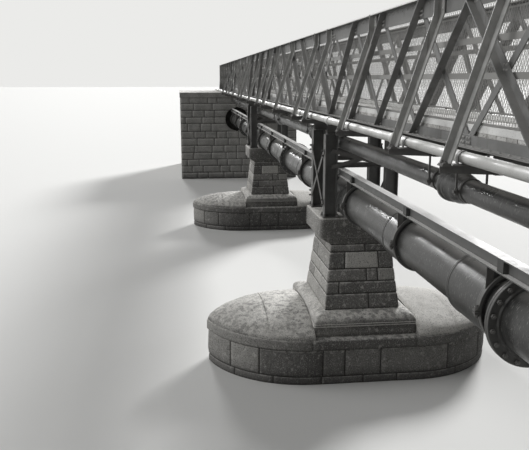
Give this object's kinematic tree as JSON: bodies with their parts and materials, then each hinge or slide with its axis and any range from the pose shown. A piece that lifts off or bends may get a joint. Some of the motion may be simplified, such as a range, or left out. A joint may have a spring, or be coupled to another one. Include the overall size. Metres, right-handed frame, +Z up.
{
  "type": "lattice girder footbridge carrying pipes",
  "caption": "Steel lattice footbridge on stone piers with steel trestles, carrying pipes below and beside its walkway.",
  "frame": {"origin": "middle of the bridge's whole length and width, at the level where the pier bases meet the water", "axes": "+X along the walkway from the near abutment to the far one, +Y to the left, +Z up"},
  "size_m": [39.24, 5.346, 5.2],
  "materials": {
    "truss_paint": "weathered dark paint",
    "rail_paint": "weathered dark paint",
    "girder_paint": "weathered dark paint",
    "trestle_paint": "weathered dark paint",
    "main_paint": "tarred cast iron",
    "pale_paint": "pale paint",
    "timber": "weathered grey boards",
    "deck_boards": "weathered grey boards",
    "kerb_paint": "painted board",
    "pier_stone": "rough weathered stone",
    "abutment_stone": "rough weathered stone"
  },
  "bodies": {
    "root": {"left_truss_near_span": "truss_paint", "left_truss_centre_span": "truss_paint", "left_truss_far_span": "truss_paint", "left_rails": "rail_paint", "left_outriggers": "truss_paint", "right_truss_near_span": "truss_paint", "right_truss_centre_span": "truss_paint", "right_truss_far_span": "truss_paint", "right_rails": "rail_paint", "right_outriggers": "truss_paint", "end_posts": "truss_paint", "cross_girders": "girder_paint", "bearings": "girder_paint", "main_beam": "girder_paint", "beam_seats": "girder_paint", "main_brackets": "girder_paint", "feed_hangers": "girder_paint", "stringers": "timber", "deck": "deck_boards", "kerbs": "kerb_paint", "near_pier_footing": "pier_stone", "near_pier_base_coping": "pier_stone", "near_pier_plinth": "pier_stone", "near_pier_shaft": "pier_stone", "near_pier_cap": "pier_stone", "near_pier_columns": "trestle_paint", "near_pier_crossbeams": "trestle_paint", "near_pier_braces": "trestle_paint", "far_pier_footing": "pier_stone", "far_pier_base_coping": "pier_stone", "far_pier_plinth": "pier_stone", "far_pier_shaft": "pier_stone", "far_pier_cap": "pier_stone", "far_pier_columns": "trestle_paint", "far_pier_crossbeams": "trestle_paint", "far_pier_braces": "trestle_paint", "near_abutment": "abutment_stone", "near_abutment_coping": "abutment_stone", "far_abutment": "abutment_stone", "far_abutment_coping": "abutment_stone", "water_main": "main_paint", "main_sockets": "main_paint", "main_saddles": "main_paint", "feed_pipe": "main_paint", "feed_couplings": "main_paint", "service_pipe": "pale_paint"}
  },
  "joints": []
}
